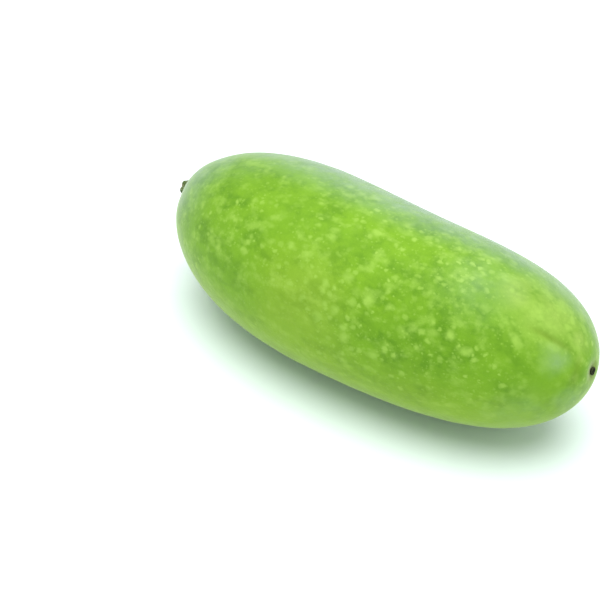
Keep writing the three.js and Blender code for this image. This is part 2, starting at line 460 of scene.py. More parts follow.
def skin_point(fruit, place, angle):
    """A point on the smooth skin, by its place along the fruit and its angle around it in degrees."""
    turn = axis_turn(fruit, place)
    side = Vector((math.sin(turn), -math.cos(turn), 0.0))
    around = math.radians(angle)
    out = side * math.cos(around) + UP * math.sin(around)
    return axis_origin(fruit) + axis_point(fruit, place) + out * fruit_radius(fruit, place)


def place_and_angle(point, fruit, origin):
    """Where a point lies along the fruit and around it, with the angle in radians."""
    local = point - origin
    place = local.x / (fruit.length / 2)
    for _ in range(3):
        centre = axis_point(fruit, place)
        turn = axis_turn(fruit, place)
        along = Vector((math.cos(turn), math.sin(turn), 0.0))
        place += (local - centre).dot(along) / (fruit.length / 2)
    side = Vector((math.sin(turn), -math.cos(turn), 0.0))
    radial = local - centre
    return place, math.atan2(radial.z, radial.dot(side))


def find_spots(piece, fruit):
    """The place and the angle of each of a piece's vertices."""
    origin = axis_origin(fruit)
    return [place_and_angle(vertex.co, fruit, origin) for vertex in piece.data.vertices]


# ---- modelling by hand

def deselect_all():
    for item in bpy.context.view_layer.objects:
        item.select_set(False)


def work_on(piece):
    """Makes one object the only one selected, and the active one."""
    deselect_all()
    piece.select_set(True)
    bpy.context.view_layer.objects.active = piece


def edit(piece, mode="VERT"):
    """Opens a piece's mesh with all of it selected."""
    work_on(piece)
    bpy.ops.object.mode_set(mode="EDIT")
    bpy.ops.mesh.select_mode(type=mode)
    bpy.ops.mesh.select_all(action="SELECT")


def done_editing():
    bpy.ops.object.mode_set(mode="OBJECT")


def select_vertices(piece, test):
    """Selects the vertices that pass a test, and leaves edit mode on."""
    bpy.ops.mesh.select_all(action="DESELECT")
    bpy.ops.object.mode_set(mode="OBJECT")
    for vertex in piece.data.vertices:
        vertex.select = test(vertex)
    bpy.ops.object.mode_set(mode="EDIT")


def rename(piece, name):
    piece.name = name
    piece.data.name = name


def first_ring(name, sides, radius, fill="NGON", **where):
    """Starts a body: a filled ring at the origin that looks up, unless told otherwise."""
    deselect_all()
    bpy.ops.mesh.primitive_circle_add(vertices=sides, radius=radius, fill_type=fill, **where)
    piece = bpy.context.object
    rename(piece, name)
    settle(piece)
    return piece


def settle(piece):
    """Puts an object's place, turn and size into its mesh."""
    work_on(piece)
    bpy.ops.object.transform_apply(location=True, rotation=True, scale=True)


def extrude_edges(step):
    bpy.ops.mesh.extrude_edges_move(TRANSFORM_OT_translate={"value": step})


def extrude_faces(step):
    bpy.ops.mesh.extrude_region_move(TRANSFORM_OT_translate={"value": step})


def resize_selection(ratio, centre):
    bpy.ops.transform.resize(value=(ratio, ratio, ratio), center_override=centre)


def turn_selection(angle, axis, centre):
    """Turns the selection about an axis. With no window, the operator itself turns the other way."""
    bpy.ops.transform.rotate(value=-angle, orient_axis=axis, center_override=centre)


def face_outwards(piece):
    """Closes the seams of the mesh being edited, and faces it outwards."""
    bpy.ops.mesh.select_all(action="SELECT")
    bpy.ops.mesh.remove_doubles(threshold=WELD_DISTANCE)
    bpy.ops.mesh.normals_make_consistent(inside=False)
    done_editing()


def apply_modifiers(piece):
    work_on(piece)
    for modifier in list(piece.modifiers):
        bpy.ops.object.modifier_apply(modifier=modifier.name)


def subdivide_smooth(piece, levels=2):
    modifier = piece.modifiers.new("smooth", "SUBSURF")
    modifier.levels = levels
    modifier.render_levels = levels
    apply_modifiers(piece)


def displace(piece, strength, texture=None, group=""):
    """Moves the skin along its normals, by a texture or by a group's weights."""
    modifier = piece.modifiers.new("displace", "DISPLACE")
    modifier.texture = texture
    modifier.texture_coords = "LOCAL"
    modifier.strength = strength
    modifier.mid_level = 0.5 if texture else 0.0
    modifier.vertex_group = group
    apply_modifiers(piece)


def clouds(name, size):
    texture = bpy.data.textures.new(name, "CLOUDS")
    texture.noise_scale = size
    texture.noise_depth = 2
    return texture


def fit_between(piece, low, high):
    """Moves and stretches a piece's mesh by the little that makes its box the given one."""
    low, high = Vector(low), Vector(high)
    corners = [vertex.co for vertex in piece.data.vertices]
    now_low = Vector([min(corner[i] for corner in corners) for i in range(3)])
    now_high = Vector([max(corner[i] for corner in corners) for i in range(3)])
    ratio = [(high[i] - low[i]) / (now_high[i] - now_low[i]) for i in range(3)]
    edit(piece)
    bpy.ops.transform.translate(value=(low + high) / 2 - (now_low + now_high) / 2)
    bpy.ops.transform.resize(value=ratio, center_override=(low + high) / 2)
    done_editing()


def stand_on_end(piece, fruit, end):
    """Stands an upright piece on the floor of an end's dimple, with its +X side up."""
    floor, outward = end_frame(fruit, end)
    side = outward.cross(UP).normalized()
    facing = Matrix((side.cross(outward), side, outward)).transposed().to_4x4()
    piece.matrix_world = Matrix.Translation(floor) @ facing
    settle(piece)


def mark(piece, name, values):
    """Keeps a number for each vertex, for the piece's material to read."""
    attribute = piece.data.attributes.new(name, "FLOAT", "POINT")
    attribute.data.foreach_set("value", values)


def give_material(piece, material):
    piece.data.materials.clear()
    piece.data.materials.append(material)


def hand_over(piece, slot, *nodes):
    """Shades a finished piece smooth, hangs it on the root body, and hides the CAD parts that it stands for.
    """
    work_on(piece)
    bpy.ops.object.shade_smooth()
    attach(piece, "root")
    if nodes:
        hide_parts(*nodes)


def fade(value, zero, one):
    """Rises smoothly from 0 at one value to 1 at another."""
    share = max(0.0, min(1.0, (value - zero) / (one - zero)))
    return share * share * (3 - 2 * share)


# ---- shader graphs

class Wire:
    """A socket of a shader graph that can be used in Python expressions."""

    def __init__(self, graph, socket):
        self.graph = graph
        self.socket = socket

    def math(self, operation, *values):
        return self.graph.node("ShaderNodeMath", {"operation": operation}, values)

    def __add__(self, other):
        return self.math("ADD", self, other)

    def __radd__(self, other):
        return self.math("ADD", other, self)

    def __sub__(self, other):
        return self.math("SUBTRACT", self, other)

    def __rsub__(self, other):
        return self.math("SUBTRACT", other, self)

    def __mul__(self, other):
        return self.math("MULTIPLY", self, other)

    def __rmul__(self, other):
        return self.math("MULTIPLY", other, self)

    def __truediv__(self, other):
        return self.math("DIVIDE", self, other)

    def __rtruediv__(self, other):
        return self.math("DIVIDE", other, self)


class Graph:
    """A material's nodes, all made by one method."""

    def __init__(self, name):
        self.material = bpy.data.materials.new(name)
        self.material.use_nodes = True
        self.tree = self.material.node_tree
        self.tree.nodes.clear()

    def node(self, kind, settings=None, values=(), output=0):
        made = self.tree.nodes.new(kind)
        for key, value in (settings or {}).items():
            setattr(made, key, value)
        pairs = values.items() if isinstance(values, dict) else enumerate(values)
        for key, value in pairs:
            socket = made.inputs[key]
            if isinstance(value, Wire):
                self.tree.links.new(value.socket, socket)
            else:
                socket.default_value = value
        return Wire(self, made.outputs[output]) if made.outputs else None

    def place(self, stretch=(1, 1, 1), shift=(0, 0, 0)):
        """Object coordinates, stretched and shifted."""
        here = self.node("ShaderNodeTexCoord", output="Object")
        values = {"Vector": here, "Location": shift, "Scale": stretch}
        return self.node("ShaderNodeMapping", {"vector_type": "POINT"}, values)

    def noise(self, where, scale, detail=2.0, roughness=0.5, distortion=0.0, output=0):
        values = {
            "Vector": where, "Scale": scale, "Detail": detail,
            "Roughness": roughness, "Distortion": distortion,
        }
        return self.node("ShaderNodeTexNoise", {"noise_dimensions": "3D"}, values, output)

    def range(self, value, low, high, to_low=0.0, to_high=1.0, steps="SMOOTHSTEP"):
        """Takes a value from one range to another, with low above high for a falling one."""
        values = {
            "Value": value, "From Min": low, "From Max": high, "To Min": to_low, "To Max": to_high,
        }
        return self.node("ShaderNodeMapRange", {"interpolation_type": steps}, values)

    def mix(self, factor, first, second):
        """Goes from one colour to another, each a wire or three numbers."""
        first, second = (
            colour if isinstance(colour, Wire) else (*colour, 1.0) for colour in (first, second)
        )
        values = {0: factor, 6: first, 7: second}
        return self.node("ShaderNodeMix", {"data_type": "RGBA"}, values, output=2)

    def vector(self, operation, values, output="Vector"):
        return self.node("ShaderNodeVectorMath", {"operation": operation}, values, output)

    def distance(self, where, point):
        return self.vector("DISTANCE", [where, tuple(point)], "Value")

    def axis(self, where, letter):
        return self.node("ShaderNodeSeparateXYZ", values=[where], output=letter)

    def attribute(self, name):
        return self.node("ShaderNodeAttribute", {"attribute_name": name}, output="Fac")

    def highest(self, first, *others):
        for other in others:
            first = first.math("MAXIMUM", first, other)
        return first

    def bump(self, height, strength):
        values = {"Height": height, "Strength": strength, "Distance": RELIEF}
        return self.node("ShaderNodeBump", values=values)

    def surface(self, values):
        """Ends the graph in one shader and gives back the material."""
        shader = self.node("ShaderNodeBsdfPrincipled", values=values)
        self.node("ShaderNodeOutputMaterial", values={"Surface": shader})
        return self.material


# ---- materials

def skin_material(skin, fruit):
    """Waxy green skin: broad tone, mottling, pale flecks, bloom and the paler side it lies on, with painted
    shade and light.
    """
    g = Graph("waxy_skin")
    here = g.place()
    spotted = 1 - skin_patches(g, here, fruit, PLAIN_PATCHES)
    flecks = skin_flecks(g, here, fruit) * spotted
    colour = skin_ground(g, here, spotted, skin, fruit)
    colour = g.mix(flecks, colour, skin.fleck)
    colour = skin_wear(g, here, colour, skin, fruit)

    pores = g.noise(here, scale=1500.0)
    uneven = g.noise(here, scale=300.0, detail=3.0, roughness=0.6)
    relief = pores * 0.35 + uneven * 0.8 + flecks * 0.35
    powder = g.noise(here, scale=60.0, detail=4.0, roughness=0.7)
    return g.surface({
        "Base Color": colour,
        "Roughness": g.range(powder, 0.2, 0.8, skin.roughness - 0.08, skin.roughness + 0.08),
        "Normal": g.bump(relief, strength=0.4),
        "Specular IOR Level": 0.04,
        "Sheen Weight": 0.40,
        "Sheen Roughness": 0.35,
        "Sheen Tint": (0.95, 0.97, 0.78, 1.0),
    })


def skin_ground(g, here, spotted, skin, fruit):
    """The green under the flecks: fresh bands, a yellower blossom end, a mottling of three sizes and pale
    clouds, with painted highlight, shade and bounce light.
    """
    bands = g.noise(g.place(stretch=(0.45, 1, 1)), scale=17.0)
    fresh = g.highest(
        g.range(bands, 0.36, 0.64) * BAND_STRENGTH, skin_patches(g, here, fruit, FRESH_PATCHES),
    )
    colour = g.mix(fresh, skin.green, skin.fresh_green)
    # Yellower skin, partly a painted highlight.
    blush_and_highlight = skin_patches(g, here, fruit, BLUSH_AND_HIGHLIGHT_PATCHES)
    colour = g.mix(blush_and_highlight, colour, skin.blush_and_highlight)

    where = g.place(stretch=(0.7, 1, 1), shift=(0.3, 0.1, 0.2))
    blotches = g.range(g.noise(where, scale=60.0, detail=3.0, roughness=0.55), 0.42, 0.62)
    where = g.place(stretch=(0.8, 1, 1))
    net = g.range(g.noise(where, scale=170.0, distortion=0.4), 0.60, 0.36)
    where = g.place(shift=(0.1, 0.6, 0.4))
    grain = g.range(g.noise(where, scale=480.0, detail=3.0, roughness=0.6), 0.60, 0.38)
    net = net * (NET_STRENGTH + NET_IN_BLOTCHES * blotches)
    mottled = blotches * BLOTCH_STRENGTH + net + grain * GRAIN_STRENGTH
    mottled = mottled * (PLAIN_MOTTLING + (1 - PLAIN_MOTTLING) * spotted)
    # Darker patches, partly painted shade at the stem end.
    dusk_and_shade = skin_patches(g, here, fruit, DUSKY_AND_SHADED_PATCHES)
    dark = DEEP_EVERYWHERE + mottled + dusk_and_shade * DUSK_AND_SHADE_STRENGTH
    colour = g.mix(dark * (1 - blush_and_highlight * BLUSH_AND_HIGHLIGHT_CLEARS), colour, skin.deep_green)

    where = g.place(stretch=(0.8, 1, 1), shift=(0.5, 0.2, 0.7))
    pale = g.range(g.noise(where, scale=120.0, detail=3.0, roughness=0.55), 0.48, 0.72)
    light = pale * (PLAIN_CLOUDS + (1 - PLAIN_CLOUDS) * spotted)
    colour = g.mix(light * CLOUD_STRENGTH, colour, skin.fleck)
    # Partly painted warm bounce light.
    warm_tint_and_bounce = skin_patches(g, here, fruit, WARM_TINT_AND_BOUNCE_PATCHES)
    return g.mix(warm_tint_and_bounce, colour, skin.ground_spot_and_bounce)


def skin_flecks(g, here, fruit):
    """Pale flecks of three sizes, crowded in some bands and rare in others."""
    bands = g.noise(g.place(stretch=(0.5, 1, 1), shift=(0.7, 0.5, 0.1)), scale=26.0)
    crowd = g.highest(
        g.range(bands, 0.40, 0.62) * CROWD_STRENGTH, skin_patches(g, here, fruit, FLECKED_PATCHES),
    )
    layers = [
        fleck_layer(g, cell, largest, share, core) * (alone + crowded * crowd)
        for cell, largest, share, core, alone, crowded in FLECK_SIZES
    ]
    return g.highest(*layers)


def fleck_layer(g, cell, largest, share, core):
    """Pale spots with soft, uneven edges, at most one to a cell, some of them faint."""
    where = g.place(stretch=(0.85, 1, 1), shift=(cell * 31, cell * 17, cell * 5))
    shake = g.noise(where, scale=1.4 / cell, detail=3.0, output="Color")
    wobble = g.vector("SCALE", {"Vector": shake, "Scale": cell * 0.7})
    cells = {"Vector": g.vector("ADD", [where, wobble]), "Scale": 1 / cell, "Randomness": 1.0}
    settings = {"voronoi_dimensions": "3D", "feature": "F1"}
    distance = g.node("ShaderNodeTexVoronoi", settings, cells, output="Distance")
    lot = g.node("ShaderNodeTexVoronoi", settings, cells, output="Color")
    size = g.range(g.axis(lot, "X"), 1 - share, 1.0, 0.08, largest, "LINEAR")
    strength = g.range(g.axis(lot, "Y"), 0.0, 1.0, 0.35, 1.0, "LINEAR")
    return g.range(distance / size, 1.3, core) * strength


def skin_patches(g, here, fruit, patches):
    """Up to 1 at each of several places on the skin, fading unevenly to 0 at the patch's reach."""
    found = []
    for place, angle, reach_mm, strength in patches:
        reach = reach_mm * MM
        ragged = g.noise(here, scale=0.9 / reach, detail=3.0) * reach * 0.8
        away = g.distance(here, skin_point(fruit, place, angle)) + ragged
        found.append(g.range(away, reach * 1.4, reach * 0.4) * strength)
    return g.highest(*found)


def skin_wear(g, here, colour, skin, fruit):
    """Bloom and painted sheen, the paler low side with painted bounce light and shade, painted shade in the
    crease, and the corky rims of both dimples.
    """
    powder = g.range(g.noise(here, scale=90.0, detail=4.0, roughness=0.7), 0.3, 0.75)
    origin = axis_origin(fruit)
    along = (g.axis(here, "X") - origin.x) / (fruit.length / 2)
    behind = g.axis(here, "Y") - origin.y - along * along * fruit.bend - along * BACK_SKEW
    # The bloom at the back is partly real and partly a painted reflection along the top rim.
    back = g.range(behind, BACK_START, BACK_FULL)
    back = back * g.range(behind, BACK_THINS, BACK_THIN, 1.0, BACK_LEFT)
    bloom_and_sheen = g.highest(back, skin_patches(g, here, fruit, BLOOM_AND_HIGHLIGHT_PATCHES))
    colour = g.mix(bloom_and_sheen * (THIN_BLOOM + (1 - THIN_BLOOM) * powder), colour, skin.bloom_and_sheen)
    # The paler low side is partly the ground spot and partly painted bounce light; its fade just above the
    # floor paints shade at the contact.
    height = g.axis(here, "Z") + powder * LOW_SIDE_RAGGED
    low_side = g.range(height, LOW_SIDE_START, LOW_SIDE_FULL)
    low_side = low_side * g.range(height, LOW_SIDE_FOOT, LOW_SIDE_RISEN, LOW_SIDE_LEFT, 1.0)
    colour = g.mix(low_side * LOW_SIDE_STRENGTH, colour, skin.ground_spot_and_bounce)
    # Painted shade along the crease and the fold.
    colour = g.mix(g.attribute("crease_shade") * CREASE_SHADE_STRENGTH, colour, skin.crease)
    for end, outer, inner in CORK_RIMS:
        floor = end_frame(fruit, end)[0]
        away = g.distance(here, floor) + g.noise(here, scale=400.0) * CORK_RAGGED
        colour = g.mix(g.range(away, outer, inner) * CORK_STRENGTH, colour, skin.cork)
    return colour


def stem_material(stem, fruit):
    """Fibrous green stem, its dark green partly painted shade, with brown blotches, fresher at its foot and
    dried on its cut face.
    """
    g = Graph("fibrous_stem")
    here = g.place()
    fibres = g.noise(g.place(stretch=(0.16, 1, 1)), scale=1500.0, detail=3.0, roughness=0.6)
    blotches = g.noise(here, scale=180.0, detail=3.0, roughness=0.6)
    pale = [PALE_FIBRE * part for part in stem.green]
    colour = g.mix(g.range(fibres, 0.35, 0.65), stem.green, pale)
    colour = g.mix(g.range(blotches, 0.5, 0.68) * 0.6, colour, STEM_BROWN)
    reach = g.distance(here, end_frame(fruit, -1)[0])
    colour = g.mix(g.range(reach, *STEM_FOOT_REACH) * 0.6, colour, STEM_FOOT)
    rays = g.noise(here, scale=900.0, detail=3.0, roughness=0.7)
    dark = [DARK_RAY * part for part in stem.cut]
    dried = g.mix(g.range(rays, 0.3, 0.7), stem.cut, dark)
    colour = g.mix(g.attribute("cut_face"), colour, dried)
    return g.surface({
        "Base Color": colour,
        "Roughness": g.range(fibres, 0.2, 0.8, 0.6, 0.8),
        "Normal": g.bump(fibres * 0.7 + blotches * 0.3, strength=0.6),
        "Specular IOR Level": 0.3,
    })


def bristle_material():
    """Pale stiff hairs, uneven in tone."""
    g = Graph("pale_bristles")
    tone = g.range(g.noise(g.place(), scale=600.0, detail=1.0), 0.3, 0.7)
    colour = g.mix(tone, *BRISTLE_SHADES)
    return g.surface({"Base Color": colour, "Roughness": 0.45, "Specular IOR Level": 0.4})


def scar_material(scar, fruit):
    """Dark dried cork, greyer on the rim that stands up and nearly black in its hollow."""
    g = Graph("corky_scar")
    here = g.place()
    floor, outward = end_frame(fruit, 1)
    away = g.distance(here, floor + outward * scar.height)
    grain = g.noise(here, scale=1200.0, detail=4.0, roughness=0.7)
    clumps = g.noise(here, scale=420.0)
    colour = g.mix(g.range(grain, 0.35, 0.7), *SCAR_SHADES)
    rim = g.range(away + clumps * scar.radius * 0.6, scar.radius * 0.8, scar.radius * 1.3)
    colour = g.mix(rim * g.range(grain, 0.3, 0.6) * 0.8, colour, scar.cork)
    return g.surface({
        "Base Color": colour,
        "Roughness": g.range(grain, 0.2, 0.8, 0.75, 0.95),
        "Normal": g.bump(grain, strength=0.8),
        "Specular IOR Level": 0.2,
    })


def floor_material():
    g = Graph("pale_floor")
    colour = g.mix(g.noise(g.place(), scale=30.0, detail=3.0), *FLOOR_SHADES)
    return g.surface({"Base Color": colour, "Roughness": 0.9, "Specular IOR Level": 0.0})


# ---- operators

class GOURD_OT_stage(bpy.types.Operator):
    """Set up the pale floor, the soft light and the camera"""

    bl_idname = "gourd.stage"
    bl_label = "Stage"

    def execute(self, context):
        lay_floor()
        light_stage()
        place_camera(context.scene.gourd_stage)
        context.scene.view_settings.view_transform = "Standard"
        return {"FINISHED"}


class GOURD_OT_fruit(bpy.types.Operator):
    """Model the fruit as rings along its curved axis, with furrows, lumps and a flat underside"""

    bl_idname = "gourd.fruit"
    bl_label = "Fruit"

    def execute(self, context):
        fruit = context.scene.gourd_fruit
        piece = loft_fruit(fruit)
        subdivide_smooth(piece)
        shape_skin(piece, fruit)
        fit_between(piece, FRUIT_LOW, FRUIT_HIGH)
        flatten_underside(piece)
        map_fruit(piece, fruit)
        give_material(piece, skin_material(context.scene.gourd_skin, fruit))
        hand_over(piece, "waxy_skin", "fruit")
        return {"FINISHED"}


class GOURD_OT_stem(bpy.types.Operator):
    """Model the cut stem: a flared, five-ridged stub that bends a little and ends in a dried cut"""

    bl_idname = "gourd.stem"
    bl_label = "Stem"

    def execute(self, context):
        fruit, stem = context.scene.gourd_fruit, context.scene.gourd_stem
        piece = grow_stem(stem)
        stand_on_end(piece, fruit, -1)
        fit_between(piece, *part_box("stem"))
        mark_cut_face(piece, fruit, stem)
        give_material(piece, stem_material(stem, fruit))
        hand_over(piece, "green_stem", "stem")
        return {"FINISHED"}


class GOURD_OT_stem_bristles(bpy.types.Operator):
    """Model one stiff hair and set copies of it all over the stem"""

    bl_idname = "gourd.stem_bristles"
    bl_label = "Stem bristles"

    def execute(self, context):
        scene = context.scene
        stem_piece = bpy.data.objects[STEM_NAME]
        piece = set_bristles(grow_bristle(), stem_piece, scene.gourd_fruit, scene.gourd_stem)
        give_material(piece, bristle_material())
        hand_over(piece, "green_stem")
        return {"FINISHED"}


class GOURD_OT_blossom_scar(bpy.types.Operator):
    """Model the corky button where the blossom fell off"""

    bl_idname = "gourd.blossom_scar"
    bl_label = "Blossom scar"

    def execute(self, context):
        fruit, scar = context.scene.gourd_fruit, context.scene.gourd_scar
        piece = grow_scar(scar)
        stand_on_end(piece, fruit, 1)
        fit_between(piece, *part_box("blossom_scar"))
        give_material(piece, scar_material(scar, fruit))
        hand_over(piece, "corky_scar", "blossom_scar")
        return {"FINISHED"}


class GOURD_PT_sidebar(bpy.types.Panel):
    """Lists the gourd's pieces and their settings"""

    bl_idname = "GOURD_PT_sidebar"
    bl_label = "Wax Gourd"
    bl_space_type = "VIEW_3D"
    bl_region_type = "UI"
    bl_category = "Wax Gourd"

    def draw(self, context):
        for operator, settings in PANEL_ROWS:
            box = self.layout.box()
            box.operator(operator.bl_idname)
            for name in settings:
                group = getattr(context.scene, name)
                for prop in group.__annotations__:
                    box.prop(group, prop)


# ---- the fruit

def loft_fruit(fruit):
    """Grows the fruit ring by ring from the stem end and closes both ends at a pole."""
    origin = axis_origin(fruit)
    stations = []
    for ring in range(1, FRUIT_RINGS):
        place = math.sin(math.pi * (ring / FRUIT_RINGS - 0.5))
        sunk = dimpled_place(fruit, place)
        centre = origin + axis_point(fruit, sunk)
        stations.append((centre, axis_turn(fruit, sunk), fruit_radius(fruit, place)))
    centre, turn, radius = stations[0]
    piece = first_ring(
        "wax_gourd_fruit", FRUIT_SIDES, radius, "NOTHING",
        location=centre, rotation=(math.pi / 2, 0, math.pi / 2 + turn),
    )
    floor = end_frame(fruit, -1)[0]
    edit(piece)
    close_ring(floor - centre)
    select_vertices(piece, lambda vertex: (vertex.co - floor).length > radius / 2)
    for here, there in zip(stations, stations[1:]):
        grow_ring(here, there)
    close_ring(tip(fruit, 1)[0] - stations[-1][0])
    face_outwards(piece)
    return piece


def grow_ring(here, there):
    """Extrudes the selected ring to the next station, turned and sized for it."""
    centre, turn, radius = here
    next_centre, next_turn, next_radius = there
    extrude_edges(next_centre - centre)
    turn_selection(next_turn - turn, "Z", next_centre)
    resize_selection(next_radius / radius, next_centre)


def close_ring(step):
    """Closes the selected ring with a fan of faces around one vertex."""
    extrude_edges(step)
    bpy.ops.mesh.merge(type="CENTER")


def map_fruit(piece, fruit):
    """Unrolls the skin: around the fruit by its angle, along it by its length over the surface."""
    spots = find_spots(piece, fruit)
    lengths = skin_lengths(fruit)
    room = 1 - 2 * MAP_EDGE
    layer = piece.data.uv_layers.new(name="OFBake")
    for polygon in piece.data.polygons:
        loops = list(polygon.loop_indices)
        found = [spots[piece.data.loops[loop].vertex_index] for loop in loops]
        sound = [angle for place, angle in found if abs(place) < POLE_PLACE]
        middle = sound[0] if sound else 0.0
        turned = [nearest_turn(angle, middle) for angle in sound]
        average = sum(turned) / max(1, len(turned))
        shift = math.tau * math.floor((average + math.pi) / math.tau)
        for loop, (place, angle) in zip(loops, found):
            around = nearest_turn(angle, average) if abs(place) < POLE_PLACE else average
            across = (around - shift) / math.tau + 0.5
            along = share_along(lengths, place)
            layer.uv[loop].vector = (MAP_EDGE + room * across, MAP_EDGE + room * along)


def nearest_turn(angle, middle):
    """The same angle, moved by whole turns to be the nearest to another."""
    return angle + math.tau * round((middle - angle) / math.tau)


def skin_lengths(fruit, steps=400):
    """Running length over the smooth skin from the stem end, for evenly spaced angles of place."""
    lengths = [0.0]
    for step in range(steps):
        places = [math.sin(math.pi * (at / steps - 0.5)) for at in (step, step + 1)]
        along = (places[1] - places[0]) * fruit.length / 2
        across = fruit_radius(fruit, places[1]) - fruit_radius(fruit, places[0])
        lengths.append(lengths[-1] + math.hypot(along, across))
    return lengths


def share_along(lengths, place):
    """The share of the whole length over the skin that is reached at a place."""
    at = (math.asin(max(-1.0, min(1.0, place))) / math.pi + 0.5) * (len(lengths) - 1)
    low = min(int(at), len(lengths) - 2)
    length = lengths[low] + (lengths[low + 1] - lengths[low]) * (at - low)
    return length / lengths[-1]


def shape_skin(piece, fruit):
    """Presses in the furrows and the crease, lets the sides sag and the flesh swell unevenly."""
    spots = find_spots(piece, fruit)
    seat = scar_seat(fruit)[0]
    depth, width = BLOSSOM_DIMPLE
    away = [(vertex.co - seat).length for vertex in piece.data.vertices]
    press(piece, "blossom_dimple", -depth, [bell(reach, width) for reach in away])
    press(piece, "blossom_furrows", -fruit.furrows, [
        span(place, BLOSSOM_FURROW_SPAN) * ridges(angle, BLOSSOM_FURROWS, FURROW_WIDTH)
        for place, angle in spots
    ])
    press(piece, "stem_furrows", -fruit.furrows, [
        span(place, STEM_FURROW_SPAN) * ridges(angle, STEM_FURROWS, FURROW_WIDTH)
        for place, angle in spots
    ])
    creases = press(piece, "crease", -fruit.crease, [
        span(place, CREASE_SPAN) * ridges(angle, (crease_angle(place),), crease_width(fruit, place))
        for place, angle in spots
    ])
    folds = press(piece, "fold", -fruit.fold, [
        bell(place - FOLD_PLACE, FOLD_WIDTH) * span(math.degrees(angle), FOLD_ARC)
        for place, angle in spots
    ])
    press(piece, "shoulder", fruit.shoulder, [
        span(place, SHOULDER_SPAN) * ridges(angle, SHOULDER_ANGLES, SHOULDER_WIDTH)
        for place, angle in spots
    ])
    press(piece, "sag", fruit.sag, [
        span(abs(place), SAG_SPAN) * ridges(angle, SAG_ANGLES, SAG_WIDTH) for place, angle in spots
    ])
    displace(piece, fruit.lumps, clouds("flesh_lumps", LUMP_SIZE))
    displace(piece, fruit.lumps * UNEVEN_SHARE, clouds("skin_unevenness", UNEVEN_SIZE))
    # Marks the crease and the fold for the painted shade in the skin's colour.
    mark(piece, "crease_shade", [
        max(crease, fold * FOLD_SHADE) for crease, fold in zip(creases, folds)
    ])


def press(piece, name, depth, weights):
    """Moves each vertex along its normal by its own share, from 0 to 1, of a depth."""
    weights = [max(0.0, min(1.0, weight)) for weight in weights]
    group = piece.vertex_groups.new(name=name)
    for index, weight in enumerate(weights):
        if weight > 0.001:
            group.add([index], weight, "REPLACE")
    displace(piece, depth, group=group.name)
    return weights


def span(value, fades):
    """Where several fades overlap."""
    return math.prod(fade(value, zero, one) for zero, one in fades)


def bell(away, width):
    return math.exp(-(away / width) ** 2)


def ridges(angle, middles, width):
    """Bell curves around the fruit at several angles, in degrees."""
    turns = [(math.degrees(angle) - middle + 180) % 360 - 180 for middle in middles]
    return sum(bell(turn, width) for turn in turns)


def crease_angle(place):
    """The crease runs along the fruit and turns down a little as it nears the scar."""
    return CREASE_ANGLE - CREASE_TURN * max(0.0, place - CREASE_START) ** 2


def crease_width(fruit, place):
    """The angle that the crease's width takes up at a place, in degrees."""
    thinnest = CREASE_THINNEST * fruit.radius
    return math.degrees(CREASE_WIDTH / max(thinnest, fruit_radius(fruit, place)))


def flatten_underside(piece):
    """Presses the lowest part of the fruit flat where it rests."""
    edit(piece)
    low = FRUIT_LOW.z + FLAT_DEPTH
    select_vertices(piece, lambda vertex: vertex.co.z < low)
    bpy.ops.transform.resize(value=(1, 1, 0), center_override=(0, 0, FRUIT_LOW.z))
    done_editing()


# ---- the stem

def grow_stem(stem):
    """Grows the stem upright at the origin, ring by ring, with its droop towards -X."""
    piece = first_ring(STEM_NAME, STEM_SIDES, stem.flare)
    raise_ridges(piece, stem)
    edit(piece, "FACE")
    radius = stem.flare
    centre, tilt = stem_station(stem, 0.0)
    for share in STEM_RINGS:
        next_centre, next_tilt = stem_station(stem, share)
        next_radius = stem_radius(stem, share)
        extrude_faces(next_centre - centre)
        resize_selection(next_radius / radius, next_centre)
        turn_selection(next_tilt[0] - tilt[0], "Y", next_centre)
        turn_selection(tilt[1] - next_tilt[1], "X", next_centre)
        centre, tilt, radius = next_centre, next_tilt, next_radius
    for width, height in CUT_FACE_STEPS:
        bpy.ops.mesh.inset(thickness=radius * width, depth=height)
    face_outwards(piece)
    subdivide_smooth(piece)
    displace(piece, FIBRE_HEIGHT, clouds("stem_fibres", FIBRE_SIZE))
    return piece


def raise_ridges(piece, stem):
    """Scales the ring's corners in and out so that five ridges stand up between grooves."""
    per_ridge = STEM_SIDES // STEM_RIDGES
    for step in range(per_ridge // 2 + 1):
        height = math.cos(math.tau * step / per_ridge)
        edit(piece)
        select_vertices(piece, lambda vertex: step_from_ridge(vertex, per_ridge) == step)
        ratio = 1 + stem.ridge * height
        bpy.ops.transform.resize(value=(ratio, ratio, 1), center_override=(0, 0, 0))
        done_editing()


def step_from_ridge(vertex, per_ridge):
    """How many corners a vertex is away from the nearest ridge."""
    corner = round(math.atan2(vertex.co.y, vertex.co.x) / (math.tau / STEM_SIDES)) % per_ridge
    return min(corner, per_ridge - corner)


def stem_station(stem, share):
    """Centre of the stem at a share of its length, and its tilt towards X and towards Y."""
    centre = Vector((-stem.droop * share ** 2, -stem.lean * share ** 2, stem.length * share))
    slope = 2 * share / stem.length
    return centre, (math.atan(-stem.droop * slope), math.atan(-stem.lean * slope))


def stem_radius(stem, share):
    flare = math.exp(-share * stem.length / FLARE_HEIGHT)
    swell = 1 + STEM_END_SWELL * share ** 3
    start, width, taken = STEM_EDGE
    rounding = taken * max(0.0, share - start) / width
    return (stem.neck * swell + (stem.flare - stem.neck) * flare) * (1 - rounding)


def stem_middle(fruit, stem, share):
    """The middle of the stem at a share of its length, once it stands on the fruit."""
    floor, outward = end_frame(fruit, -1)
    centre = stem_station(stem, share)[0]
    return floor + UP * centre.x + outward.cross(UP) * centre.y + outward * centre.z


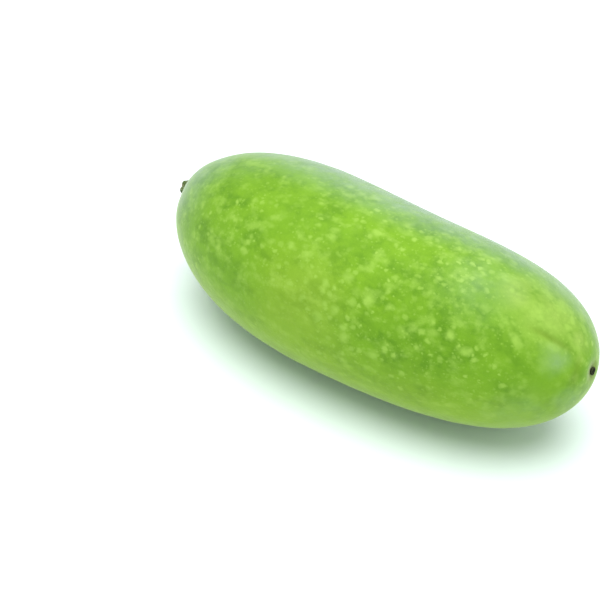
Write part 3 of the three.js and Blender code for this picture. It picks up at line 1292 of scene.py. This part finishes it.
def mark_cut_face(piece, fruit, stem):
    """Marks how far each vertex belongs to the cut face inside the stem's rind."""
    middle = stem_middle(fruit, stem, 1.0)
    inner, outer = [stem_radius(stem, 1.0) * share for share in CUT_FACE_FADE]
    mark(piece, "cut_face", [
        1 - fade((vertex.co - middle).length, inner, outer) for vertex in piece.data.vertices
    ])


def grow_bristle():
    """Grows one bent, pointed hair upwards from a small foot."""
    piece = first_ring("bristle", BRISTLE_SIDES, BRISTLE_RADIUS)
    edit(piece, "FACE")
    centre = Vector((0, 0, 0))
    for ratio, sideways in BRISTLE_STEPS:
        step = Vector((sideways, 0, 1)).normalized() * BRISTLE_LENGTH / len(BRISTLE_STEPS)
        extrude_faces(step)
        centre += step
        resize_selection(ratio, centre)
    bpy.ops.mesh.merge(type="CENTER")
    face_outwards(piece)
    return piece


def set_bristles(first, stem_piece, fruit, stem):
    """Copies the hair onto points of the stem drawn by lot, leaning towards the cut end."""
    chance = random.Random(BRISTLE_SEED)
    outward = end_frame(fruit, -1)[1]
    side = outward.cross(UP)
    skin = BVHTree.FromObject(stem_piece, bpy.context.evaluated_depsgraph_get())
    hairs = []
    for _ in range(stem.bristles):
        middle = stem_middle(fruit, stem, chance.uniform(*BRISTLE_SPAN))
        around = chance.uniform(0, math.tau)
        centre, normal = skin.ray_cast(middle, UP * math.cos(around) + side * math.sin(around))[:2]
        lean = (normal + outward * chance.uniform(*BRISTLE_LEAN)).normalized()
        hair = first.copy()
        hair.data = first.data.copy()
        bpy.context.scene.collection.objects.link(hair)
        roll = Matrix.Rotation(chance.uniform(0, math.tau), 4, "Z")
        facing = lean.to_track_quat("Z", "X").to_matrix().to_4x4()
        size = Matrix.Scale(chance.uniform(*BRISTLE_SCALE), 4)
        foot = Matrix.Translation(centre - normal * BRISTLE_SUNK)
        hair.matrix_world = foot @ facing @ roll @ size
        hairs.append(hair)
    bpy.data.objects.remove(first)
    work_on(hairs[0])
    for hair in hairs:
        hair.select_set(True)
    bpy.ops.object.join()
    piece = bpy.context.object
    rename(piece, "wax_gourd_stem_bristles")
    settle(piece)
    return piece


# ---- the blossom scar

def grow_scar(scar):
    """Grows the corky button upright at the origin: a raised rim, a hollow and the stub of the style."""
    piece = first_ring("wax_gourd_blossom_scar", SCAR_SIDES, scar.radius)
    edit(piece, "FACE")
    extrude_faces((0, 0, scar.height * SCAR_WALL))
    for width, height in SCAR_STEPS:
        bpy.ops.mesh.inset(thickness=scar.radius * width, depth=scar.height * height)
    face_outwards(piece)
    subdivide_smooth(piece)
    for name, (size, height) in (("cork_lumps", CORK_LUMPS), ("cork_grain", CORK_GRAIN)):
        displace(piece, height, clouds(name, size))
    return piece


# ---- the stage

def lay_floor():
    deselect_all()
    bpy.ops.mesh.primitive_plane_add(size=FLOOR_SIZE, location=(0, 0, 0))
    floor = bpy.context.object
    floor.name = "floor"
    give_material(floor, floor_material())


def light_stage():
    """Lights everything evenly from the sky, with one broad lamp high above the gourd."""
    world = bpy.data.worlds.new("studio")
    bpy.context.scene.world = world
    world.use_nodes = True
    background = world.node_tree.nodes["Background"]
    background.inputs["Color"].default_value = SKY_COLOUR
    background.inputs["Strength"].default_value = SKY_STRENGTH
    light = bpy.data.lights.new("key_light", "AREA")
    light.shape = "DISK"
    light.size = LAMP_SIZE
    light.energy = LAMP_POWER
    lamp = bpy.data.objects.new("key_light", light)
    bpy.context.scene.collection.objects.link(lamp)
    lamp.location = LAMP_PLACE
    lamp.rotation_euler = (LAMP_AIM - LAMP_PLACE).to_track_quat("-Z", "Y").to_euler()


def place_camera(stage):
    """Looks down on the fruit from beyond its blossom end."""
    low, high = CAD_BOX
    away = Vector((
        math.sin(stage.azimuth) * math.cos(stage.elevation),
        -math.cos(stage.azimuth) * math.cos(stage.elevation),
        math.sin(stage.elevation),
    ))
    right = Vector((math.cos(stage.azimuth), math.sin(stage.azimuth), 0.0))
    up = away.cross(right)
    target = (Vector(low) + Vector(high)) / 2 + right * AIM_RIGHT + up * AIM_UP
    lens = bpy.data.cameras.new("camera")
    lens.lens_unit = "FOV"
    lens.angle = stage.field
    camera = bpy.data.objects.new("camera", lens)
    bpy.context.scene.collection.objects.link(camera)
    facing = Matrix((right, up, away)).transposed().to_4x4()
    camera.matrix_world = Matrix.Translation(target + away * stage.distance) @ facing
    bpy.context.scene.camera = camera


# ---- registering and running

SETTINGS = {
    "gourd_fruit": FruitSettings,
    "gourd_skin": SkinSettings,
    "gourd_stem": StemSettings,
    "gourd_scar": ScarSettings,
    "gourd_stage": StageSettings,
}
PANEL_ROWS = (
    (GOURD_OT_stage, ("gourd_stage",)),
    (GOURD_OT_fruit, ("gourd_fruit", "gourd_skin")),
    (GOURD_OT_stem, ("gourd_stem",)),
    (GOURD_OT_stem_bristles, ()),
    (GOURD_OT_blossom_scar, ("gourd_scar",)),
)
CLASSES = (
    *SETTINGS.values(),
    *(operator for operator, _ in PANEL_ROWS),
    GOURD_PT_sidebar,
)


def register():
    for made in CLASSES:
        bpy.utils.register_class(made)
    for name, group in SETTINGS.items():
        setattr(bpy.types.Scene, name, bpy.props.PointerProperty(type=group))


def unregister():
    for name in SETTINGS:
        delattr(bpy.types.Scene, name)
    for made in reversed(CLASSES):
        bpy.utils.unregister_class(made)


def main():
    register()
    bpy.ops.gourd.stage()
    bpy.ops.gourd.fruit()
    bpy.ops.gourd.stem()
    bpy.ops.gourd.stem_bristles()
    bpy.ops.gourd.blossom_scar()


if __name__ == "__main__":
    main()
